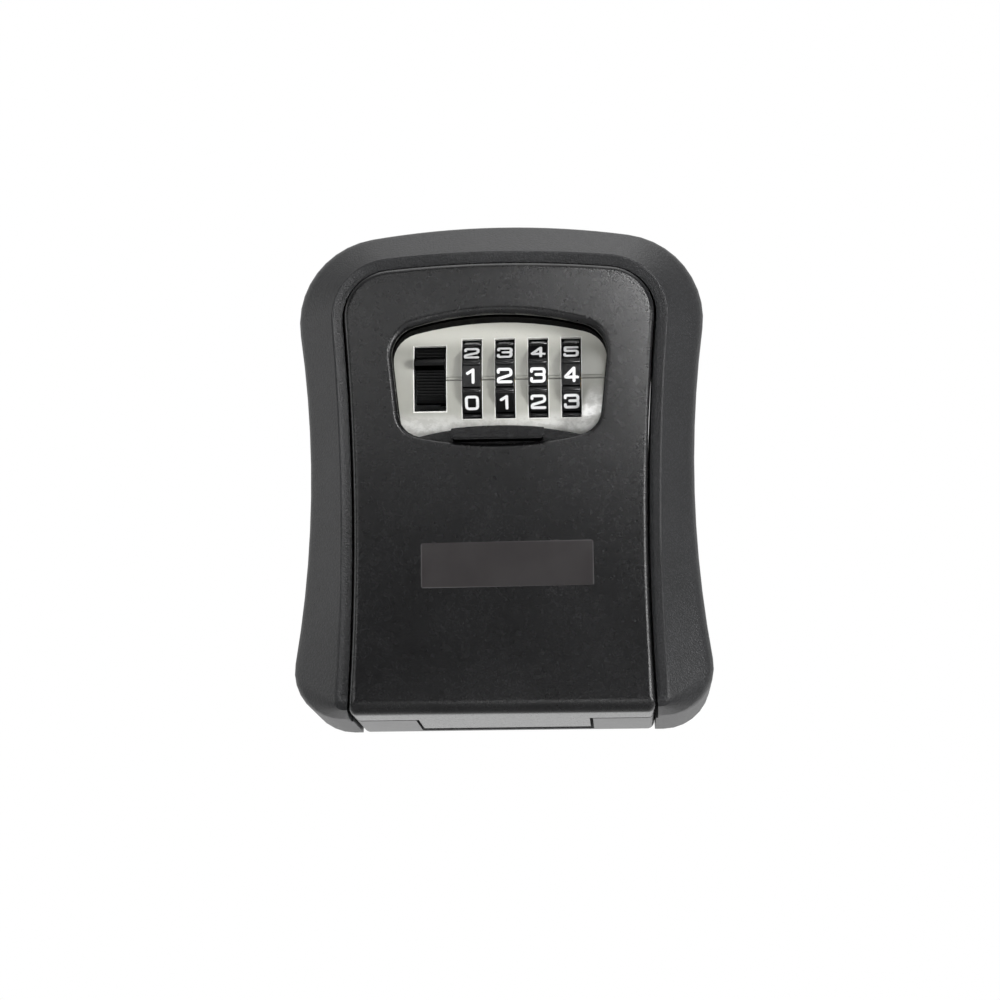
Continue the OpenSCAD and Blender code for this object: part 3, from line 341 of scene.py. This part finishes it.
def label_film():
    """Brown-black gloss film, with a paler painted highlight round its edge where it turns down.
    """
    made = Finish("label_film", specular_ior_level=0.45)
    low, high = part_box("label")
    rim = 0.35 * MM
    edge = 0
    for axis, k in (("X", 0), ("Z", 2)):
        half = (high[k] - low[k]) / 2
        from_middle = abs(made.along(axis) - (low[k] + high[k]) / 2)
        edge = from_middle.ramp(half - rim, half).larger(edge)
    cloud = made.noise(9 * MM, 3).ramp(0.3, 0.7)
    film = made.mix(cloud, (0.022, 0.0195, 0.020), (0.027, 0.0245, 0.025))
    # The paler rim is a painted highlight
    made.feed("Base Color", made.mix(edge, film, (0.075, 0.073, 0.075)))
    made.feed("Roughness", 0.24 + (made.noise(2 * MM, 3) - 0.5) * 0.06)
    made.bump(made.noise(3 * MM, 3), 0.006 * MM)
    return made.material


def digit_paint():
    """White paint in the digits, very slightly uneven."""
    made = Finish("digit_white", specular_ior_level=0.4)
    cloud = made.noise(0.6 * MM, 3)
    made.feed("Base Color", made.mix(cloud, (0.78, 0.79, 0.8), (0.9, 0.9, 0.9)))
    made.feed("Roughness", 0.4 + cloud * 0.15)
    made.bump(cloud, 0.01 * MM)
    return made.material


FINISHES = {
    "cast_black": moulded("cast_black", (0.02, 0.02, 0.021), (0.034, 0.034, 0.036), 0.38,
                          0.45 * MM, 0.03 * MM, 0.5),
    "shroud_black": moulded("shroud_black", (0.004, 0.0042, 0.0048), (0.014, 0.0144, 0.016), 0.44,
                            0.36 * MM, 0.085 * MM, 0.3),
    "door_black": moulded("door_black", (0.0008, 0.0008, 0.001), (0.0098, 0.0098, 0.0106), 0.27,
                          0.28 * MM, 0.031 * MM, 0.3, WINDOW_WALLS),
    "face_grey": face_plate(),
    "zinc_plate": plated("zinc_plate", (0.55, 0.56, 0.57), 0.34, (0.2, 1, 1)),
    "screw_zinc": plated("screw_zinc", (0.5, 0.51, 0.53), 0.28, (1, 1, 0.4)),
    "pin_steel": plated("pin_steel", (0.58, 0.58, 0.58), 0.24, (1, 0.2, 0.2)),
    "spring_steel": plated("spring_steel", (0.42, 0.42, 0.43), 0.3, (1, 0.3, 1)),
    "label_film": label_film(),
    "shutter_black": gloss_black("shutter_black", (0.008, 0.008, 0.0084), 0.24, 0.3),
    "slider_black": gloss_black("slider_black", (0.002, 0.002, 0.0022), 0.2, 0.14),
    "lever_black": gloss_black("lever_black", (0.02, 0.02, 0.021), 0.45, 0.4),
    "dial_black": gloss_black("dial_black", (0.006, 0.006, 0.0064), 0.2, 0.35),
    "cam_brass": plated("cam_brass", (0.42, 0.31, 0.16), 0.4, (1, 0.4, 0.4)),
}
DIGIT_WHITE = digit_paint()

# CAD nodes

# How wide the rounding is on the sharp edges of each node, in mm
EDGE_ROUNDING = {
    "lock_face": 0.12, "release_slider": 0.1, "shutter": 0.3, "dial_1": 0.16, "dial_2": 0.16,
    "dial_3": 0.16, "dial_4": 0.16, "lock_case": 0.2, "strike_plate": 0.12,
    "latch_plate": 0.12, "shutter_guard": 0.15, "change_lever": 0.15, "rear_housing": 0.25,
}
# Corners closer than this become one
WELD_GAP = 0.0005 * MM
# An edge where the surface turns by less than FLAT_TURN is taken out. One where it turns by more
# is rounded from ROUNDED_TURN on, and is shaded as sharp from SHARP_TURN on.
FLAT_TURN = math.radians(0.5)
ROUNDED_TURN = math.radians(35)
SHARP_TURN = math.radians(30)


def dress_nodes():
    """Give every CAD node the finish of its slot, and round the edges of those that show."""
    slots = {row["node"]: row["material_slot"] for row in frame["record"]["subparts"]}
    for name, piece in frame["nodes"].items():
        piece.data.materials.clear()
        piece.data.materials.append(FINISHES[slots[name]])
        weld(piece)
        if name in EDGE_ROUNDING:
            round_edges(piece, EDGE_ROUNDING[name] * MM)
        shade_edges(piece)


def weld(piece):
    """Join the separate faces of a CAD solid, and shade them as one surface."""
    mesh = piece.data
    if "custom_normal" in mesh.attributes:
        mesh.attributes.remove(mesh.attributes["custom_normal"])
    for face in mesh.polygons:
        face.use_smooth = True
    piece.modifiers.new("weld", "WELD").merge_threshold = WELD_GAP


def round_edges(piece, width):
    """Join flat triangles into whole faces, then round the sharp edges."""
    flat = piece.modifiers.new("whole_faces", "DECIMATE")
    flat.decimate_type = "DISSOLVE"
    flat.angle_limit = FLAT_TURN
    bevel = piece.modifiers.new("edge_rounding", "BEVEL")
    bevel.width = width
    bevel.segments = 3
    bevel.limit_method = "ANGLE"
    bevel.angle_limit = ROUNDED_TURN


def shade_edges(piece):
    """Keep sharp edges crisp, and large flats level between fillets."""
    split = piece.modifiers.new("sharp_edges", "EDGE_SPLIT")
    split.split_angle = SHARP_TURN
    split.use_edge_sharp = False
    level = piece.modifiers.new("level_flats", "WEIGHTED_NORMAL")
    level.mode = "FACE_AREA"
    level.weight = 100


dress_nodes()

# Digits

STROKE = 0.66 * MM
DIGIT_HALF_W = 1.44 * MM
DIGIT_HALF_H = 1.46 * MM
# Height of the paint over a dial's flat, and of its sunk underside. Each next stroke of a digit
# is a hair higher, so that no two faces lie in one plane where strokes cross.
PAINT_TOP = 0.05 * MM
PAINT_FOOT = -0.06 * MM
NEXT_STROKE = 0.004 * MM
# Short lines in a stroke's rounded corner, and in its round end
ROUND_LINES = 8
# A rounded corner takes at most this share of the lines beside it
CORNER_SHARE = 0.49
# The ends of a closed stroke are nearer than this
CLOSED_GAP = 1e-6

# Strokes of each digit on a grid from -1 to 1: place across, place up and corner radius in mm
STROKES = {
    0: [[(0, 1, 0), (0.88, 1, 0.7), (0.88, -1, 0.7), (-0.88, -1, 0.7), (-0.88, 1, 0.7),
         (0, 1, 0)]],
    1: [[(-0.62, 0.45, 0), (0.2, 0.95, 0)], [(0.26, 1, 0), (0.26, -1, 0)]],
    2: [[(-1, 0.55, 0), (-1, 1, 0.6), (1, 1, 0.7), (1, 0.1, 0.6), (-1, -0.5, 0.4),
         (-1, -1, 0.1), (1, -1, 0)]],
    3: [[(-1, 0.6, 0), (-1, 1, 0.6), (1, 1, 0.6), (1, 0.08, 0.5), (-0.3, 0.08, 0)],
        [(0.3, 0.08, 0), (1, 0.08, 0.5), (1, -1, 0.7), (-1, -1, 0.7), (-1, -0.55, 0)]],
    4: [[(0.4, 1, 0), (-1, -0.42, 0.15), (1, -0.42, 0)], [(0.45, 1, 0), (0.45, -1, 0)]],
    5: [[(0.95, 1, 0), (-0.95, 1, 0.12), (-0.95, 0.18, 0.12), (1, 0.18, 0.6), (1, -1, 0.7),
         (-1, -1, 0.7), (-1, -0.62, 0)]],
    6: [[(0.95, 0.62, 0), (0.95, 1, 0.6), (-1, 1, 0.7), (-1, -1, 0.7), (1, -1, 0.7),
         (1, 0.15, 0.6), (-0.95, 0.15, 0)]],
    7: [[(-1, 1, 0), (1, 1, 0.3), (-0.3, -1, 0)]],
    8: [[(0, 1, 0), (0.92, 1, 0.6), (0.92, 0.08, 0.5), (-0.92, 0.08, 0.5), (-0.92, 1, 0.6),
         (0, 1, 0)],
        [(0, 0.08, 0), (1, 0.08, 0.5), (1, -1, 0.6), (-1, -1, 0.6), (-1, 0.08, 0.5),
         (0, 0.08, 0)]],
    9: [[(-0.95, -0.62, 0), (-0.95, -1, 0.6), (1, -1, 0.7), (1, 1, 0.7), (-1, 1, 0.7),
         (-1, -0.15, 0.6), (0.95, -0.15, 0)]],
}


def rounded_path(corners):
    """Points along a stroke, with a curve in place of each corner that has a radius."""
    spots = [Vector((x * DIGIT_HALF_W, z * DIGIT_HALF_H)) for x, z, _ in corners]
    path = [spots[0]]
    for before, spot, after, corner in zip(spots, spots[1:], spots[2:], corners[1:]):
        back, on = (before - spot).normalized(), (after - spot).normalized()
        half = back.angle(on) / 2
        reach = min(corner[2] * MM / math.tan(half), CORNER_SHARE * (before - spot).length,
                    CORNER_SHARE * (after - spot).length)
        for k in range(ROUND_LINES + 1):
            t = k / ROUND_LINES
            # A quadratic curve from one side of the corner to the other
            path.append(spot + back * reach * (1 - t) ** 2 + on * reach * t ** 2)
    return path + [spots[-1]]


def add_stroke(mesh, path, place, low, high):
    """A flat ribbon along the path, between two heights over the dial's flat.

    It has round ends, or goes round in a ring where the path ends where it started.
    """
    closed = (path[0] - path[-1]).length < CLOSED_GAP
    spots = path[:-1] if closed else path
    left, right = [], []
    for i, spot in enumerate(spots):
        before = spots[i - 1] if closed or i else spot
        after = spots[(i + 1) % len(spots)] if closed or i < len(spots) - 1 else spot
        along = (after - before).normalized()
        across = Vector((-along.y, along.x)) * STROKE / 2
        left.append(spot + across)
        right.append(spot - across)
    if closed:
        for height, turned in ((high, False), (low, True)):
            rows = [[mesh.verts.new(place(p, height)) for p in side] for side in (left, right)]
            ribbon(mesh, *[row + row[:1] for row in rows], turned)
        return
    start = round_end(spots[0], spots[0] - spots[1])
    end = round_end(spots[-1], spots[-1] - spots[-2])
    outline = left + end + right[::-1] + start
    top = [mesh.verts.new(place(p, high)) for p in outline]
    bottom = [mesh.verts.new(place(p, low)) for p in outline]
    ribbon(mesh, top + top[:1], bottom + bottom[:1], False)
    # The top is the ribbon between the two sides and one face in each round end
    last, back = len(left) - 1, len(left) + len(end)
    ribbon(mesh, top[:last + 1], top[back:back + last + 1][::-1], True)
    mesh.faces.new(top[last:back + 1][::-1])
    mesh.faces.new((top[back + last:] + top[:1])[::-1])


def round_end(spot, out):
    """Points of a half circle round the end of a stroke, from its left side to its right."""
    start = math.atan2(out.y, out.x) + math.pi / 2
    turns = [start - math.pi * k / ROUND_LINES for k in range(1, ROUND_LINES)]
    return [spot + Vector((math.cos(turn), math.sin(turn))) * STROKE / 2 for turn in turns]


def ribbon(mesh, first, second, turned):
    """Faces between two rows of corners, turned over where asked."""
    for a, b, c, d in zip(first, first[1:], second[1:], second):
        mesh.faces.new((d, c, b, a) if turned else (a, b, c, d))


def digit_ring(dial, first):
    """All ten digits round one dial, painted on its flats, with the first at the index bead."""
    mesh = bmesh.new()
    middle = Vector((DIAL_X[dial], -DIAL_DEPTH, DIAL_Z))
    for digit in range(DIGITS):
        turn = (digit - first) * DIGIT_STEP
        out = Vector((0, -math.cos(turn), math.sin(turn)))
        up = Vector((0, math.sin(turn), math.cos(turn)))

        def place(p, height):
            return middle + Vector((p.x, 0, 0)) + up * p.y + out * (FLAT_RADIUS + height)

        for k, corners in enumerate(STROKES[digit]):
            add_stroke(mesh, rounded_path(corners), place, PAINT_FOOT, PAINT_TOP + k * NEXT_STROKE)
    return finish_mesh(mesh, f"dial_{dial + 1}_digits", DIGIT_WHITE, f"dial_{dial + 1}")


def finish_mesh(mesh, name, material, body):
    """Turn a bmesh into a piece that rides on a body."""
    bmesh.ops.recalc_face_normals(mesh, faces=mesh.faces)
    data = bpy.data.meshes.new(name)
    mesh.to_mesh(data)
    mesh.free()
    data.materials.append(material)
    piece = add_object(name, data)
    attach(piece, body)
    return piece


for dial in range(DIAL_COUNT):
    digit_ring(dial, dial + 1)

# Springs

# Springs that shorten with a joint: its name, the spring's axis, which of the spring's ends on
# that axis stands still (0 the lower, 1 the higher), and the travel
SPRINGS = {"latch_spring": ("latch_slide", 2, 0, 3.5 * MM),
           "shaft_spring": ("change_slide", 0, 1, 1.6 * MM)}


def coil(node, joint, axis, standing_end, travel):
    """A copy of a spring, welded and shaded, that rides on the door in place of its CAD node."""
    data = frame["nodes"][node].data.copy()
    data.transform(frame["nodes"][node].matrix_world)
    piece = add_object(f"{node}_coil", data)
    weld(piece)
    shade_edges(piece)
    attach(piece, "door")
    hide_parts(node)
    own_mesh(piece)


for node, motion in SPRINGS.items():
    coil(node, *motion)

# Stage, lamps and camera

FLOOR_Z = -0.2
FLOOR_HALF_W = 3.0
# How bright the floor is by itself where the camera sees it near the safe, and the distances
# between which it fades into the white behind
FLOOR_NEAR = 0.45
FLOOR_FADE = (0.4, 1.5)
# How bright the floor is in the safe's gloss, and the places along Y between which it gets there
FLOOR_SHINE = 0.95
SHINE_START = (-0.1, 0.3)
# How bright the white room is in front of the safe, as its gloss shows it, and as plain light
ROOM_FRONT = 0.07
ROOM_FILL = 0.06


def studio():
    """A pale floor well below the safe, and a white room."""
    floor = bpy.data.meshes.new("studio_floor")
    corners = [(-1, -1), (1, -1), (1, 1), (-1, 1)]
    floor.from_pydata([(x * FLOOR_HALF_W, y * FLOOR_HALF_W, FLOOR_Z) for x, y in corners], [],
                      [(0, 1, 2, 3)])
    made = Finish("floor_white", roughness=0.9, specular_ior_level=0.1, emission_strength=1.0)
    made.feed("Base Color", made.mix(made.noise(0.4, 2), (0.83, 0.83, 0.83), (0.85, 0.85, 0.85)))
    shiny = made.node("ShaderNodeLightPath", out="Is Glossy Ray")
    seen = made.node("ShaderNodeLightPath", out="Is Camera Ray")
    distance = made.node("ShaderNodeVectorMath", {"operation": "LENGTH"}, {0: made.place}, out=1)
    glow = (seen * (FLOOR_NEAR + distance.ramp(*FLOOR_FADE) * (1 - FLOOR_NEAR))
            + shiny * made.along("Y").ramp(*SHINE_START) * FLOOR_SHINE)
    made.feed("Emission Color", made.mix(glow, (0, 0, 0), (1, 1, 1)))
    floor.materials.append(made.material)
    piece = add_object("studio_floor", floor)

    world = bpy.data.worlds.new("studio_room")
    bpy.context.scene.world = world
    room = Shading(world, "Background")
    seen = room.node("ShaderNodeLightPath", out="Is Camera Ray")
    shiny = (room.node("ShaderNodeLightPath", out="Is Glossy Ray")
             + room.node("ShaderNodeLightPath", out="Is Transmission Ray"))
    toward = room.node("ShaderNodeTexCoord", out="Generated")
    behind = room.node("ShaderNodeSeparateXYZ", sockets={"Vector": toward}, out="Y")
    above = room.node("ShaderNodeSeparateXYZ", sockets={"Vector": toward}, out="Z")
    bright = behind.ramp(-0.7, 0.3).larger(above.ramp(0.45, 0.9))
    wall = ROOM_FRONT + bright * (1 - ROOM_FRONT)
    room.feed("Strength", seen + (1 - seen) * (shiny * wall + (1 - shiny) * ROOM_FILL))
    room.feed("Color", (1, 1, 1))


def lamp(name, spot, size, power, aim=(0, -0.02, 0), gloss=True, plain=True):
    """A soft rectangular lamp aimed at a place, with its size in metres and its power in watts.

    It shows in the gloss, in the plain shade or in both.
    """
    data = bpy.data.lights.new(name, "AREA")
    data.shape = "RECTANGLE"
    data.size, data.size_y = size
    data.energy = power
    piece = add_object(name, data)
    piece.location = spot
    piece.visible_glossy = gloss
    piece.visible_diffuse = plain
    piece.visible_camera = False
    piece.rotation_euler = (Vector(aim) - Vector(spot)).to_track_quat("-Z", "Y").to_euler()


def light_safe():
    """Lamps round the safe, each for a shade or a reflection that the photograph shows."""
    # The right sides and the front
    lamp("key_lamp", (0.56, -0.47, -0.04), (0.22, 0.35), 5.2)
    lamp("front_lamp", (0.03, -0.6, -0.12), (0.15, 0.15), 1.0, aim=(0, -0.03, 0.02), gloss=False)
    # Sheen on the door, right and left of the window, and on the surround's left rim
    lamp("sheen_lamp", (0.095, -0.324, 0.14), (0.09, 0.06), 0.72, aim=(0.03, -0.04, 0.03),
         plain=False)
    lamp("haze_lamp", (-0.09, -0.324, 0.11), (0.12, 0.05), 0.1, aim=(-0.03, -0.04, 0.03),
         plain=False)
    lamp("band_lamp", (-0.32, -0.46, 0.02), (0.1, 0.3), 0.6, plain=False)
    # The left sides, the top, and the foot of the face plate
    lamp("left_lamp", (-0.7, -0.10, 0.1), (0.3, 0.5), 1.4)
    lamp("top_lamp", (0.05, -0.10, 0.9), (0.8, 0.6), 4.7)
    lamp("low_lamp", (0.0167, -0.4115, -0.111), (0.03, 0.08), 0.12, aim=(0.02, -0.0315, 0.0125))


# The photograph's camera, fitted to the outline of the safe: its lens in mm, its place, and the
# directions of its right side and its top
CAMERA_LENS = 99.93
CAMERA_PLACE = (0.02655, -0.65036, -0.12360)
CAMERA_RIGHT = (0.99897, 0.04482, -0.00770)
CAMERA_UP = (0.01577, -0.18257, 0.98307)


def camera():
    """The photograph's view: a little from the right and from below."""
    data = bpy.data.cameras.new("photo_camera")
    data.lens = CAMERA_LENS
    data.sensor_width = 36
    data.clip_start = 0.01
    data.clip_end = 20
    piece = add_object("photo_camera", data)
    right = Vector(CAMERA_RIGHT)
    back = right.cross(Vector(CAMERA_UP)).normalized()
    up = back.cross(right).normalized()
    turn = Matrix((right, up, back)).transposed()
    piece.matrix_world = Matrix.Translation(CAMERA_PLACE) @ turn.to_4x4()
    bpy.context.scene.camera = piece


studio()
light_safe()
camera()

scene = bpy.context.scene
scene.view_settings.view_transform = "Standard"
